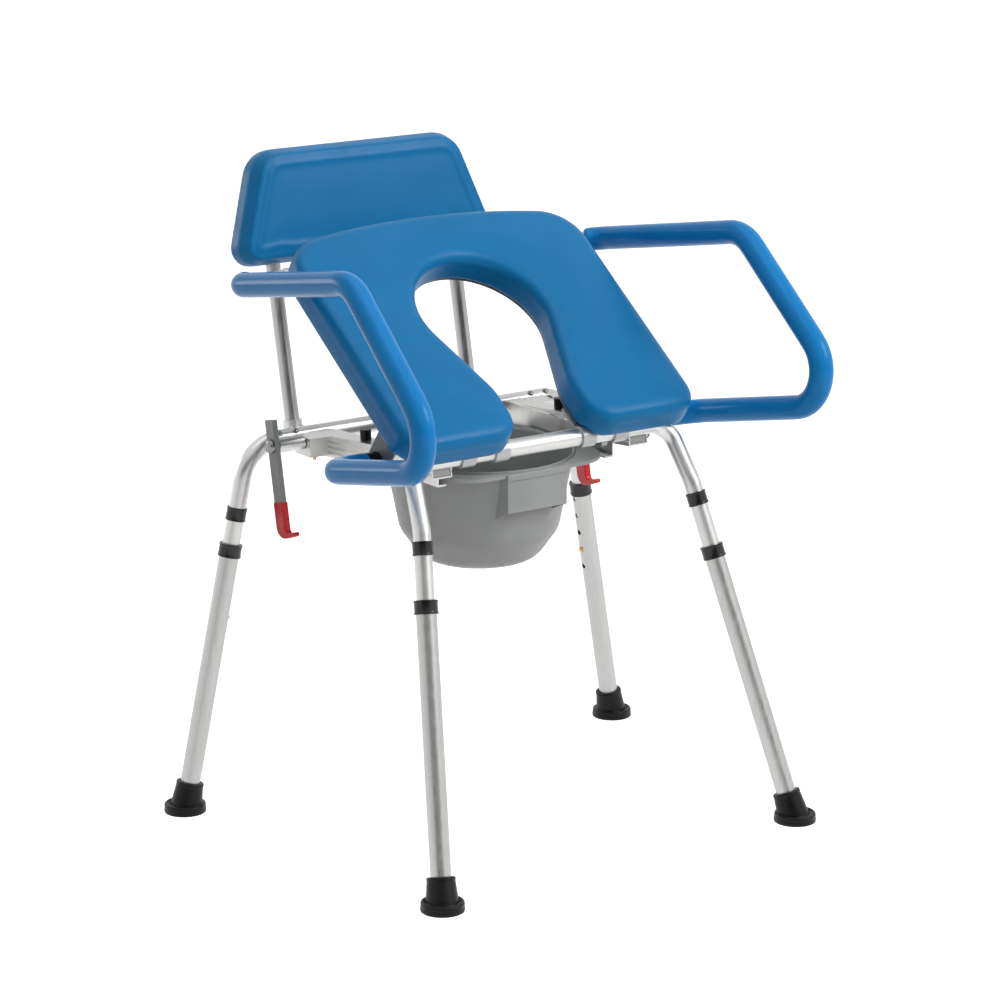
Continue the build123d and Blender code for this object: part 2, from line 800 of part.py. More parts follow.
def back_pad():
    """A moulded pad with a bevelled front and two sockets for the posts."""
    low = post_plane.from_local_coords(Vector(-post_x, back_t - back_front_of_post, back_from))
    face = Plane(origin=(0, low.Y, low.Z), x_dir=(1, 0, 0), z_dir=-post_plane.y_dir)
    with BuildPart() as pad:
        with BuildSketch(face) as outline:
            with BuildLine():
                Polyline(
                    (-back_low_half, 0),
                    (back_low_half, 0),
                    (back_high_half, back_h),
                    (-back_high_half, back_h),
                    close=True,
                )
            make_face()
            fillet(outline.vertices().group_by(Axis.Y)[0], back_low_corner)
            fillet(outline.vertices().filter_by(lambda v: v.Y > back_h / 2), back_high_corner)
        extrude(amount=back_t)
        faces = pad.faces().sort_by(Axis(face.origin, face.z_dir))
        rear_edges = faces[0].edges()
        chamfer(faces[-1].edges(), back_bevel_d, back_bevel_w, reference=faces[-1])
        fillet(rear_edges, back_rear_round)
        for side in (-1, 1):
            hole = Plane(
                origin=(side * post_x, post_plane.origin.Y, post_plane.origin.Z),
                x_dir=(1, 0, 0),
                z_dir=post_plane.z_dir,
            )
            with BuildSketch(hole):
                Circle(post_od / 2 + nest_gap)
            extrude(amount=post_len + nest_gap, mode=Mode.SUBTRACT)
    return pad


os.makedirs("parts", exist_ok=True)

front_corner = (front_corner_x, hinge_y, hinge_z)
front_knee = (front_knee_x, front_knee_y, front_knee_z)
rear_corner = (rear_corner_x, rear_tube_y, rear_tube_z)
front_leg = leg_frame(front_foot_x, front_foot_y, front_knee, (0, 1, 0))
rear_leg = leg_frame(rear_foot_x, rear_foot_y, rear_corner, (-1, 0, 0))
front_bends = (knee_bend, front_bend)
save_frame_and_legs("front", front_leg, (front_knee, front_corner), front_bends, front_collar_at, front_ring_at)
save_frame_and_legs("rear", rear_leg, (rear_corner,), (rear_bend,), rear_collar_at, rear_ring_at)

save_pair(side_rail(), "side_rail")
save_pair(bumper(), "bumper")
save_pair(pail_rail(), "pail_rail")
save(pail(), "pail")

save(seat_pad(), "seat_pad")
save(seat_base(), "seat_base")
save(hinge_bushes(), "hinge_bushes")
save_pair(arm_tube(), "arm_tube")
save_pair(arm_grip(), "arm_grip")
save_pair(arm_plug(), "arm_plug")
save(arm_cross_tube(), "arm_cross_tube")

save_pair(gas_cylinder(), "gas_cylinder")
save_pair(gas_rod(), "gas_rod")
save_pair(gas_stud(), "gas_stud")

save_pair(lever(), "lever")
save_pair(lever_tip(), "lever_tip")
save_pair(lever_bolt(), "lever_bolt")

save_pair(back_post(), "back_post")
save_pair(post_bracket(), "post_bracket")
save(back_pad(), "back_pad")
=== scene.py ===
# %% [markdown]
# A shower and commode chair whose padded seat tips up with its arms.
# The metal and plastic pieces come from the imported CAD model, already in place and in metres.
# This lesson adds what CAD leaves plain: the moulded pads, the foam on the arms, small rounded
# pieces, the finishes, the light and the camera. Everything shares the frame of the CAD: +Z up,
# front towards -Y.

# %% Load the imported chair
from math import cos, exp, pi, radians, sin, tan

import bmesh
import bpy
from mathutils import Matrix, Vector
from mathutils.kdtree import KDTree


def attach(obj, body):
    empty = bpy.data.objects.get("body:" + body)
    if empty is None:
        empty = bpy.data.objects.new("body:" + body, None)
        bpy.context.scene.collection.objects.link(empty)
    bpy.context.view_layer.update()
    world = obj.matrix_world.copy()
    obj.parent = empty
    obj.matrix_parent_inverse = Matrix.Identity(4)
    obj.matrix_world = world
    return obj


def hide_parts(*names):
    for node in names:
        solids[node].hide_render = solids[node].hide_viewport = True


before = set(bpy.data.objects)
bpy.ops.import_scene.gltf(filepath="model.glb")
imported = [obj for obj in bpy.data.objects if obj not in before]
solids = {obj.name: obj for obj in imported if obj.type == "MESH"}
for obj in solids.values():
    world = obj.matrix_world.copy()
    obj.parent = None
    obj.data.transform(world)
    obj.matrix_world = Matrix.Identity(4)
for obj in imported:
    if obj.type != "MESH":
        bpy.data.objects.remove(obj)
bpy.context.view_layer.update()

scene = bpy.context.scene
scene.view_settings.view_transform = "Standard"

# %% [markdown]
# The camera stands where the photographer stood: in front, to the left and a little above.
# Its place and direction were worked out from the four feet and the tubes, so the render
# can be laid over the photograph. A long lens gives the flat perspective of a studio picture.

# %% Camera
camera_place = Vector((-2.50914, -3.5708, 1.53536))
camera_right = Vector((0.8158, -0.5783, 0.0))
camera_up = Vector((0.1456, 0.2055, 0.9678))
camera_back = Vector((-0.5595, -0.7897, 0.2519))

lens = bpy.data.cameras.new("studio_camera")
lens.sensor_width = 36.0
lens.lens = 127.91
camera = bpy.data.objects.new("studio_camera", lens)
camera_turn = Matrix((camera_right, camera_up, camera_back)).transposed().to_4x4()
camera.matrix_world = Matrix.Translation(camera_place) @ camera_turn
scene.collection.objects.link(camera)
scene.camera = camera
print("camera distance:", round(camera_place.length, 3))

# %% [markdown]
# The picture has a white ground and soft light from all round, so the world has three faces. The
# camera sees plain white. Soft light on the chair comes mostly from above and from the right. What
# the metal and the shiny foam mirror is white as well, except for one dim wall behind the
# photographer: without it, round tubes would have no dark streak. Short helpers keep the tree of
# nodes readable.

# %% Helpers for the world
world = bpy.data.worlds.new("studio")
world.use_nodes = True
scene.world = world
sky = world.node_tree
sky.nodes.clear()
sky_place = sky.nodes.new("ShaderNodeTexCoord")


def sky_range(value, low, high, at_low, at_high):
    """A smooth step of a value, on the world's own nodes."""
    step = sky.nodes.new("ShaderNodeMapRange")
    step.interpolation_type = "SMOOTHSTEP"
    step.inputs["From Min"].default_value = low
    step.inputs["From Max"].default_value = high
    step.inputs["To Min"].default_value = at_low
    step.inputs["To Max"].default_value = at_high
    sky.links.new(value, step.inputs["Value"])
    return step.outputs["Result"]


def sky_math(operation, first, second):
    """Two values worked into one."""
    node = sky.nodes.new("ShaderNodeMath")
    node.operation = operation
    sky.links.new(first, node.inputs[0])
    sky.links.new(second, node.inputs[1])
    return node.outputs["Value"]


def sky_facing(direction):
    """How squarely a ray looks in a direction, from -1 to 1."""
    facing = sky.nodes.new("ShaderNodeVectorMath")
    facing.operation = "DOT_PRODUCT"
    facing.inputs[1].default_value = direction
    sky.links.new(sky_place.outputs["Generated"], facing.inputs[0])
    return facing.outputs["Value"]


def sky_face(strength=None):
    """A white background, of strength 1 or of a strength that other nodes give."""
    face = sky.nodes.new("ShaderNodeBackground")
    face.inputs["Color"].default_value = (1.0, 1.0, 1.0, 1.0)
    face.inputs["Strength"].default_value = 1.0
    if strength is not None:
        sky.links.new(strength, face.inputs["Strength"])
    return face.outputs["Background"]


def sky_mix(share, first, second):
    """The first shader where the share is 0, and the second where it is 1."""
    mix = sky.nodes.new("ShaderNodeMixShader")
    sky.links.new(share, mix.inputs["Fac"])
    sky.links.new(first, mix.inputs[1])
    sky.links.new(second, mix.inputs[2])
    return mix.outputs["Shader"]


print("helpers for the world:", world.name)

# %% Dim wall and dim left side
wall_facing = (-0.578, -0.816, 0.0)
left_facing = (-0.94, -0.34, 0.0)
dim_wall, dim_left = 0.06, 0.22
low_glow, high_glow = 0.18, 0.46

sky_split = sky.nodes.new("ShaderNodeSeparateXYZ")
sky.links.new(sky_place.outputs["Generated"], sky_split.inputs["Vector"])
sky_height = sky_split.outputs["Z"]

wall_near = sky_range(sky_facing(wall_facing), 0.62, 0.92, 0.0, 1.0)
wall_low = sky_range(sky_height, 0.28, 0.62, 1.0, 0.0)
wall_share = sky_math("MULTIPLY", wall_near, wall_low)
mirror_light = sky_range(wall_share, 0.0, 1.0, 1.0, dim_wall)

left_share = sky_range(sky_facing(left_facing), -0.3, 0.7, 1.0, dim_left)
height_share = sky_range(sky_height, -0.1, 0.8, low_glow, high_glow)
soft_light = sky_math("MULTIPLY", left_share, height_share)
print("soft light from", low_glow, "to", high_glow, "and a wall of", dim_wall)

# %% Three faces of the world
sky_path = sky.nodes.new("ShaderNodeLightPath")
mirrored = sky_math(
    "MAXIMUM", sky_path.outputs["Is Glossy Ray"], sky_path.outputs["Is Transmission Ray"]
)
lit_sky = sky_mix(mirrored, sky_face(soft_light), sky_face(mirror_light))
seen_sky = sky_mix(sky_path.outputs["Is Camera Ray"], lit_sky, sky_face())
sky_out = sky.nodes.new("ShaderNodeOutputWorld")
sky.links.new(seen_sky, sky_out.inputs["Surface"])
print("world nodes:", len(sky.nodes))

# %% [markdown]
# Four square lamps stand round the chair: a weak one above, the main one high on the right, a small
# one behind that draws a bright edge on the backrest, and a fill on the photographer's side. The
# fill is kept out of mirror images, where it would cover the dark streak on the tubes.

# %% Lamps
chair_middle = (0.0, 0.0, 0.5)
back_left_edge = (-0.18, 0.27, 0.75)


def soft_lamp(name, place, aim, size, watts):
    """A square area lamp that points at a place on the chair."""
    data = bpy.data.lights.new(name, "AREA")
    data.shape = "SQUARE"
    data.size = size
    data.energy = watts
    lamp = bpy.data.objects.new(name, data)
    direction = Vector(aim) - Vector(place)
    lamp_turn = direction.to_track_quat("-Z", "Y").to_matrix().to_4x4()
    lamp.matrix_world = Matrix.Translation(Vector(place)) @ lamp_turn
    scene.collection.objects.link(lamp)
    return lamp


soft_lamp("top_lamp", (-0.3, -0.1, 3.0), chair_middle, size=1.8, watts=14.0)
soft_lamp("key_lamp", (1.9, -2.6, 2.8), chair_middle, size=1.8, watts=74.0)
soft_lamp("edge_lamp", (-1.67, 2.86, 1.05), back_left_edge, size=1.0, watts=13.0)
fill_lamp = soft_lamp("fill_lamp", (-1.7, -3.0, 1.9), chair_middle, size=1.6, watts=22.0)
fill_lamp.visible_glossy = False
print("lamps:", len(bpy.data.lights))

# %% [markdown]
# The floor is one large matt square that fills the view, so there is no horizon. It takes the
# chair's shadow and throws soft light back up. To the camera and in mirror images it also glows, so
# that it looks white without more light on the chair.

# %% Floor
floor_half = 40.0
floor_mesh = bpy.data.meshes.new("floor")
floor_bm = bmesh.new()
bmesh.ops.create_grid(floor_bm, x_segments=1, y_segments=1, size=floor_half)
floor_bm.to_mesh(floor_mesh)
floor_bm.free()
floor = bpy.data.objects.new("floor", floor_mesh)
scene.collection.objects.link(floor)
print("floor half width:", floor_half)

# %% Floor paint
floor_grey = (0.68, 0.68, 0.68, 1.0)
mirror_glow, more_for_camera = 0.82, 0.15

floor_paint = bpy.data.materials.new("floor_paint")
floor_paint.use_nodes = True
paint = floor_paint.node_tree
paint.nodes.clear()
paint_path = paint.nodes.new("ShaderNodeLightPath")
paint_flat = paint.nodes.new("ShaderNodeBsdfDiffuse")
paint_flat.inputs["Color"].default_value = floor_grey

paint_lift = paint.nodes.new("ShaderNodeMath")
paint_lift.operation = "MULTIPLY_ADD"
paint_lift.inputs[1].default_value = more_for_camera
paint_lift.inputs[2].default_value = mirror_glow
paint_glow = paint.nodes.new("ShaderNodeEmission")
paint_glow.inputs["Color"].default_value = (1.0, 1.0, 1.0, 1.0)
paint_both = paint.nodes.new("ShaderNodeAddShader")
paint.links.new(paint_path.outputs["Is Camera Ray"], paint_lift.inputs[0])
paint.links.new(paint_lift.outputs["Value"], paint_glow.inputs["Strength"])
paint.links.new(paint_flat.outputs["BSDF"], paint_both.inputs[0])
paint.links.new(paint_glow.outputs["Emission"], paint_both.inputs[1])

paint_seen = paint.nodes.new("ShaderNodeMath")
paint_seen.operation = "MAXIMUM"
paint_shown = paint.nodes.new("ShaderNodeMath")
paint_shown.operation = "MAXIMUM"
paint.links.new(paint_path.outputs["Is Camera Ray"], paint_seen.inputs[0])
paint.links.new(paint_path.outputs["Is Glossy Ray"], paint_seen.inputs[1])
paint.links.new(paint_seen.outputs["Value"], paint_shown.inputs[0])
paint.links.new(paint_path.outputs["Is Transmission Ray"], paint_shown.inputs[1])

paint_mix = paint.nodes.new("ShaderNodeMixShader")
paint_out = paint.nodes.new("ShaderNodeOutputMaterial")
paint.links.new(paint_shown.outputs["Value"], paint_mix.inputs["Fac"])
paint.links.new(paint_flat.outputs["BSDF"], paint_mix.inputs[1])
paint.links.new(paint_both.outputs["Shader"], paint_mix.inputs[2])
paint.links.new(paint_mix.outputs["Shader"], paint_out.inputs["Surface"])
floor_mesh.materials.append(floor_paint)
print("floor paint nodes:", len(paint.nodes))

# %% [markdown]
# Every finish is a small tree of nodes on Object coordinates, so its grain has a real size in
# millimetres. The helpers below lay down the three things that most finishes share: a slow drift
# of colour, an uneven polish and a fine grain that bends the light.

# %% Helpers for finishes
drift_low, drift_high = 0.35, 0.65
polish_low, polish_high = 0.3, 0.7


def shade(level):
    """One part of a colour as seen on a screen, from 0 to 255, made linear."""
    part = level / 255.0
    return part / 12.92 if part <= 0.04045 else ((part + 0.055) / 1.055) ** 2.4


def rgb(red, green, blue):
    """A linear colour from the three levels seen on a screen."""
    return (shade(red), shade(green), shade(blue))


def new_finish(name, color, roughness, metallic=0.0):
    """A plain finish with its constant values on the shader's own sockets."""
    finish = bpy.data.materials.new(name)
    finish.use_nodes = True
    shader = finish.node_tree.nodes["Principled BSDF"]
    shader.inputs["Base Color"].default_value = (*color, 1.0)
    shader.inputs["Roughness"].default_value = roughness
    shader.inputs["Metallic"].default_value = metallic
    return finish


def set_shine(finish, level):
    """How strongly a finish mirrors what it faces squarely."""
    shader = finish.node_tree.nodes["Principled BSDF"]
    shader.inputs["Specular IOR Level"].default_value = level


def grain(finish, per_metre, detail=2.0, stretch=(1.0, 1.0, 1.0), turn=(0.0, 0.0, 0.0)):
    """A noise of so many grains in a metre, drawn out along an axis if asked."""
    tree = finish.node_tree
    place = tree.nodes.new("ShaderNodeTexCoord")
    lay = tree.nodes.new("ShaderNodeMapping")
    cloud = tree.nodes.new("ShaderNodeTexNoise")
    lay.vector_type = "POINT"
    lay.inputs["Rotation"].default_value = turn
    lay.inputs["Scale"].default_value = stretch
    cloud.inputs["Scale"].default_value = per_metre
    cloud.inputs["Detail"].default_value = detail
    tree.links.new(place.outputs["Object"], lay.inputs["Vector"])
    tree.links.new(lay.outputs["Vector"], cloud.inputs["Vector"])
    return cloud.outputs["Fac"]


def drift_color(finish, value, dark, light):
    """The colour wanders between two shades."""
    tree = finish.node_tree
    ramp = tree.nodes.new("ShaderNodeValToRGB")
    ramp.color_ramp.elements[0].position = drift_low
    ramp.color_ramp.elements[0].color = (*dark, 1.0)
    ramp.color_ramp.elements[1].position = drift_high
    ramp.color_ramp.elements[1].color = (*light, 1.0)
    tree.links.new(value, ramp.inputs["Fac"])
    tree.links.new(ramp.outputs["Color"], tree.nodes["Principled BSDF"].inputs["Base Color"])


def drift_polish(finish, value, smooth, rough):
    """The polish wanders between two roughnesses."""
    tree = finish.node_tree
    spread = tree.nodes.new("ShaderNodeMapRange")
    spread.inputs["From Min"].default_value = polish_low
    spread.inputs["From Max"].default_value = polish_high
    spread.inputs["To Min"].default_value = smooth
    spread.inputs["To Max"].default_value = rough
    tree.links.new(value, spread.inputs["Value"])
    tree.links.new(spread.outputs["Result"], tree.nodes["Principled BSDF"].inputs["Roughness"])


def relief(finish, value, strength, height):
    """A fine relief, with the height of its bumps in metres."""
    tree = finish.node_tree
    bump = tree.nodes.new("ShaderNodeBump")
    bump.inputs["Strength"].default_value = strength
    bump.inputs["Distance"].default_value = height
    tree.links.new(value, bump.inputs["Height"])
    tree.links.new(bump.outputs["Normal"], tree.nodes["Principled BSDF"].inputs["Normal"])


print("helpers for finishes are ready")

# %% [markdown]
# The pads are soft foam moulded with its own skin: a satin blue that is a little cloudy, with a
# fine leather-like grain. The foam on the arms is smoother, shinier and a stronger blue.

# %% Finishes of the soft pieces
pad_skin = new_finish("pad_skin", rgb(10, 118, 176), 0.36)
drift_color(pad_skin, grain(pad_skin, 14.0, 3.0), rgb(8, 116, 173), rgb(12, 120, 179))
drift_polish(pad_skin, grain(pad_skin, 60.0, 4.0), 0.32, 0.42)
relief(pad_skin, grain(pad_skin, 900.0, 3.0), 0.14, 0.0005)
set_shine(pad_skin, 0.19)

arm_foam = new_finish("arm_foam", rgb(23, 134, 205), 0.2)
drift_color(arm_foam, grain(arm_foam, 18.0, 3.0), rgb(21, 131, 201), rgb(25, 137, 209))
drift_polish(arm_foam, grain(arm_foam, 30.0, 2.0), 0.18, 0.22)
relief(arm_foam, grain(arm_foam, 1500.0, 2.0), 0.04, 0.0002)
set_shine(arm_foam, 0.13)
print("soft finishes:", pad_skin.name, arm_foam.name)

# %% [markdown]
# The tubes are satin anodised aluminium. Drawing leaves faint lines along each tube, so the grain
# is drawn out along the tube's own axis. Each leg leans its own way, and the Mapping node is turned
# to match, which is why one recipe makes a finish for each direction. A bent tube has no one axis:
# tumbling after bending leaves it an even satin, so it has a slow drift and no lines.

# %% Finishes of the tubes and rails
line_stretch = (1.0, 1.0, 0.02)
darker = 0.95


def drawn_metal(name, color, axis, smooth=0.30, rough=0.42):
    """Satin metal with faint lines along an axis."""
    finish = new_finish(name, color, smooth, 1.0)
    turn = Vector(axis).rotation_difference(Vector((0, 0, 1))).to_euler()
    low = tuple(darker * part for part in color)
    drift_color(finish, grain(finish, 420.0, 3.0, line_stretch, turn), low, color)
    drift_polish(finish, grain(finish, 300.0, 2.0, line_stretch, turn), smooth, rough)
    relief(finish, grain(finish, 1500.0, 2.0, line_stretch, turn), 0.05, 0.0002)
    return finish


satin_grey = rgb(206, 206, 204)
bent_tube_metal = new_finish("bent_tube_metal", satin_grey, 0.36, 1.0)
drift_color(bent_tube_metal, grain(bent_tube_metal, 30.0, 2.0), rgb(201, 201, 199), satin_grey)
drift_polish(bent_tube_metal, grain(bent_tube_metal, 24.0, 2.0), 0.34, 0.40)
cross_tube_metal = drawn_metal("cross_tube_metal", satin_grey, (1, 0, 0))
rail_metal = drawn_metal("rail_metal", rgb(205, 205, 203), (0, 1, 0), 0.30, 0.44)
post_lean = radians(11.8)
post_metal = drawn_metal("post_metal", rgb(178, 178, 176), (0, sin(post_lean), cos(post_lean)))
print("tubes and rails:", bent_tube_metal.name, rail_metal.name, post_metal.name)

# %% Finishes of the legs
sides = (("left", -1), ("right", 1))
leg_run = {"front": (-0.066, 0.1375, 0.428), "rear": (-0.093, -0.019, 0.476)}
leg_grey = rgb(186, 186, 184)
leg_metal = {}
for end, run in leg_run.items():
    for side, flip in sides:
        axis = (flip * run[0], run[1], run[2])
        leg_metal[end, side] = drawn_metal(f"{end}_{side}_leg_metal", leg_grey, axis)
print("leg finishes:", len(leg_metal))

# %% [markdown]
# The small hardware is bright or dark steel and brass, with a polish that wanders. The levers, the
# base under the seat, the gas cylinders and the hinge bushes are sprayed, which leaves a fine
# orange-peel relief.

# %% Finishes of the hardware and the painted pieces
bright_steel = new_finish("bright_steel", rgb(225, 225, 222), 0.12, 1.0)
drift_polish(bright_steel, grain(bright_steel, 500.0, 3.0), 0.08, 0.2)
bolt_steel = new_finish("bolt_steel", rgb(136, 136, 134), 0.28, 1.0)
drift_polish(bolt_steel, grain(bolt_steel, 500.0, 3.0), 0.24, 0.36)
brass = new_finish("brass", rgb(214, 160, 96), 0.22, 1.0)
drift_polish(brass, grain(brass, 700.0, 3.0), 0.18, 0.34)

lever_paint = new_finish("lever_paint", rgb(152, 155, 153), 0.42)
drift_color(lever_paint, grain(lever_paint, 60.0, 3.0), rgb(146, 149, 147), rgb(158, 161, 159))
drift_polish(lever_paint, grain(lever_paint, 200.0, 3.0), 0.36, 0.5)
relief(lever_paint, grain(lever_paint, 1100.0, 3.0), 0.15, 0.0003)

base_paint = new_finish("base_paint", rgb(92, 94, 96), 0.42)
drift_color(base_paint, grain(base_paint, 40.0, 3.0), rgb(86, 88, 90), rgb(98, 100, 102))
drift_polish(base_paint, grain(base_paint, 220.0, 3.0), 0.36, 0.5)
relief(base_paint, grain(base_paint, 900.0, 3.0), 0.18, 0.0003)

silver_paint = new_finish("silver_paint", rgb(178, 180, 180), 0.34, 0.6)
drift_polish(silver_paint, grain(silver_paint, 260.0, 3.0), 0.28, 0.42)
relief(silver_paint, grain(silver_paint, 1200.0, 3.0), 0.1, 0.0002)
print("finishes so far:", len(bpy.data.materials))

# %% [markdown]
# The collars and rings are black nylon, the feet and bumpers are rubber, the pail is grey moulded
# plastic with a fine spark-eroded grain, and the lever tips are dipped in red vinyl.

# %% Finishes of the plastic and rubber pieces
black_nylon = new_finish("black_nylon", rgb(11, 11, 12), 0.24)
drift_color(black_nylon, grain(black_nylon, 90.0, 3.0), rgb(9, 9, 10), rgb(15, 15, 16))
drift_polish(black_nylon, grain(black_nylon, 300.0, 3.0), 0.2, 0.3)
relief(black_nylon, grain(black_nylon, 1400.0, 3.0), 0.12, 0.0003)

foot_rubber = new_finish("foot_rubber", rgb(9, 9, 10), 0.36)
drift_color(foot_rubber, grain(foot_rubber, 50.0, 4.0), rgb(7, 7, 8), rgb(14, 14, 15))
drift_polish(foot_rubber, grain(foot_rubber, 160.0, 3.0), 0.3, 0.46)
relief(foot_rubber, grain(foot_rubber, 1000.0, 4.0), 0.25, 0.0004)
set_shine(foot_rubber, 0.22)

pail_plastic = new_finish("pail_plastic", rgb(160, 162, 160), 0.36)
drift_color(pail_plastic, grain(pail_plastic, 16.0, 3.0), rgb(156, 158, 156), rgb(164, 166, 164))
drift_polish(pail_plastic, grain(pail_plastic, 120.0, 3.0), 0.38, 0.5)
relief(pail_plastic, grain(pail_plastic, 1600.0, 2.0), 0.18, 0.0003)

red_vinyl = new_finish("red_vinyl", rgb(224, 18, 32), 0.3)
drift_color(red_vinyl, grain(red_vinyl, 70.0, 2.0), rgb(216, 14, 28), rgb(232, 22, 38))
drift_polish(red_vinyl, grain(red_vinyl, 120.0, 2.0), 0.26, 0.36)
relief(red_vinyl, grain(red_vinyl, 160.0, 1.0), 0.05, 0.0004)
print("all finishes:", len(bpy.data.materials))

# %% [markdown]
# A CAD piece whose shape is right only needs its finish. The list pairs the ends of the pieces'
# names with finishes. The pieces that are made anew further on aren't in it.

# %% Dress the CAD pieces
dress = (
    ("frame_tube", bent_tube_metal),
    ("arm_tube", bent_tube_metal),
    ("arm_cross_tube", cross_tube_metal),
    ("side_rail", rail_metal),
    ("pail_rail", rail_metal),
    ("post_bracket", rail_metal),
    ("back_post", post_metal),
    ("arm_plug", black_nylon),
    ("bumper", foot_rubber),
    ("button", brass),
    ("lever_bolt", bolt_steel),
    ("gas_rod", bright_steel),
    ("gas_stud", bright_steel),
    ("gas_cylinder", silver_paint),
    ("hinge_bushes", silver_paint),
    ("lever", lever_paint),
    ("seat_base", base_paint),
    ("pail", pail_plastic),
    ("front_left_leg", leg_metal["front", "left"]),
    ("front_right_leg", leg_metal["front", "right"]),
    ("rear_left_leg", leg_metal["rear", "left"]),
    ("rear_right_leg", leg_metal["rear", "right"]),
)


def wear(piece, finish):
    """The piece has this finish, and no other."""
    piece.data.materials.clear()
    piece.data.materials.append(finish)


dressed = []
for name, solid in solids.items():
    for ending, finish in dress:
        if name.endswith(ending):
            wear(solid, finish)
            dressed.append(name)
print("dressed", len(dressed), "of", len(solids), "CAD pieces")

# %% [markdown]
# The seat and back pads are moulded, so their edges are round and their faces swell a little.
# Each starts as a copy of its CAD solid, laid flat in its own frame. A voxel remesh gives it an even
# skin, and smoothing softens the edges.

# %% Even skin for a pad
weld = 0.00002


def own_frame(origin, along):
    """A frame across the chair (X), along a direction (Y) and square to both (Z)."""
    across = Vector((1, 0, 0))
    along = Vector(along).normalized()
    up = across.cross(along)
    turned = Matrix((across, along, up)).transposed().to_4x4()
    return Matrix.Translation(Vector(origin)) @ turned


def with_modifiers(piece):
    """The piece's mesh as its modifiers leave it, with the modifiers then gone."""
    shown = piece.evaluated_get(bpy.context.evaluated_depsgraph_get())
    made = bpy.data.meshes.new_from_object(shown)
    piece.modifiers.clear()
    old = piece.data
    piece.data = made
    bpy.data.meshes.remove(old)


def new_skin(piece, voxel, rounds):
    """Remeshes a piece into an even skin and softens it."""
    skin = piece.modifiers.new("skin", "REMESH")
    skin.mode = "VOXEL"
    skin.voxel_size = voxel
    with_modifiers(piece)
    bm = bmesh.new()
    bm.from_mesh(piece.data)
    for _ in range(rounds):
        bmesh.ops.smooth_vert(
            bm, verts=bm.verts, factor=0.5, use_axis_x=True, use_axis_y=True, use_axis_z=True
        )
    bm.to_mesh(piece.data)
    bm.free()


def even_skin(name, node, place, voxel, rounds):
    """A copy of a CAD pad, flat in its own frame, with an even and softened skin."""
    mesh = solids[node].data.copy()
    mesh.transform(place.inverted())
    bm = bmesh.new()
    bm.from_mesh(mesh)
    bmesh.ops.remove_doubles(bm, verts=bm.verts, dist=weld)
    bm.to_mesh(mesh)
    bm.free()
    piece = bpy.data.objects.new(name, mesh)
    scene.collection.objects.link(piece)
    new_skin(piece, voxel, rounds)
    return piece


print("helpers for an even skin are ready")

# %% [markdown]
# Foam swells most in the middle of a pad, so the face is raised most where it is furthest from an
# edge. A tree of the side's points finds that distance quickly. A fine bead may follow the edge, and
# a shallow groove round the side is the line where the two halves of the mould met.

# %% Swell, bead and mould line
side_slope, face_slope, groove_slope = 0.3, 0.5, 0.75
bead_width = 0.004


def rim_of(bm, socket=None):
    """The pad's side points in plan, to measure from, without those inside its post sockets."""
    rim_points = [v for v in bm.verts if abs(v.normal.z) < side_slope]
    if socket is not None:
        across, height, reach = socket
        rim_points = [
            v for v in rim_points
            if (abs(v.co.x) - across) ** 2 + (v.co.z - height) ** 2 > reach ** 2
        ]
    rim = KDTree(len(rim_points))
    for index, v in enumerate(rim_points):
        rim.insert(Vector((v.co.x, v.co.y, 0)), index)
    rim.balance()
    return rim


def swell(piece, height, reach, bead=0.0, bead_at=0.02, socket=None):
    """Raises the upper face, most where it is furthest from an edge, and a fine bead round it."""
    bm = bmesh.new()
    bm.from_mesh(piece.data)
    bm.normal_update()
    rim = rim_of(bm, socket)
    top = [v for v in bm.verts if v.normal.z > face_slope]
    for v in top:
        inside = rim.find(Vector((v.co.x, v.co.y, 0)))[2]
        share = min(inside / reach, 1.0)
        v.co.z += height * share * share * (3 - 2 * share)
        v.co.z += bead * exp(-(((inside - bead_at) / bead_width) ** 2))
    bm.to_mesh(piece.data)
    bm.free()
    print(piece.name, "raised points:", len(top))


def mould_line(piece, at, half_width, depth):
    """A shallow groove round the side, at one height."""
    bm = bmesh.new()
    bm.from_mesh(piece.data)
    bm.normal_update()
    moves = []
    for v in bm.verts:
        off = abs(v.co.z - at) / half_width
        if off < 1.0 and abs(v.normal.z) < groove_slope:
            flat = Vector((v.normal.x, v.normal.y, 0))
            moves.append((v, -depth * (1 - off * off) * flat))
    for v, move in moves:
        v.co += move
    bm.to_mesh(piece.data)
    bm.free()
    print(piece.name, "points in the groove:", len(moves))


def settle(piece, place, finish, body, levels):
    """Puts a finished piece in place, smooth and dressed, on its body."""
    piece.data.transform(place)
    for face in piece.data.polygons:
        face.use_smooth = True
    if levels:
        soft = piece.modifiers.new("soft", "SUBSURF")
        soft.levels = levels
        soft.render_levels = levels
    wear(piece, finish)
    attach(piece, body)
    print(piece.name, "faces:", len(piece.data.polygons))


print("helpers for a moulded face are ready")

# %% [markdown]
# The seat is one thick pad with an opening that runs out to the front. Its frame lies at the hinge
# and leans as the seat does in the photograph, so the pad can be worked on as if it lay flat.

# %% Seat pad
hinge = Vector((0.0, -0.1185, 0.4975))
seat_tilt = radians(36.0)
seat_frame = own_frame(hinge, (0.0, cos(seat_tilt), sin(seat_tilt)))
pad_under, pad_thick = 0.009, 0.044
line_under_face = 0.0195

seat = even_skin("moulded_seat", "seat_pad", seat_frame, voxel=0.0045, rounds=2)
swell(seat, height=0.003, reach=0.075)
mould_line(seat, at=pad_under + pad_thick - line_under_face, half_width=0.0035, depth=0.0006)
settle(seat, seat_frame, pad_skin, "seat", levels=1)
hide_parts("seat_pad")

# %% [markdown]
# The backrest has a raised middle with a wide sloping border, and is held by two posts that
# go up into it from below. Points inside the posts' sockets aren't an edge, so they are left out
# when the swell is measured.

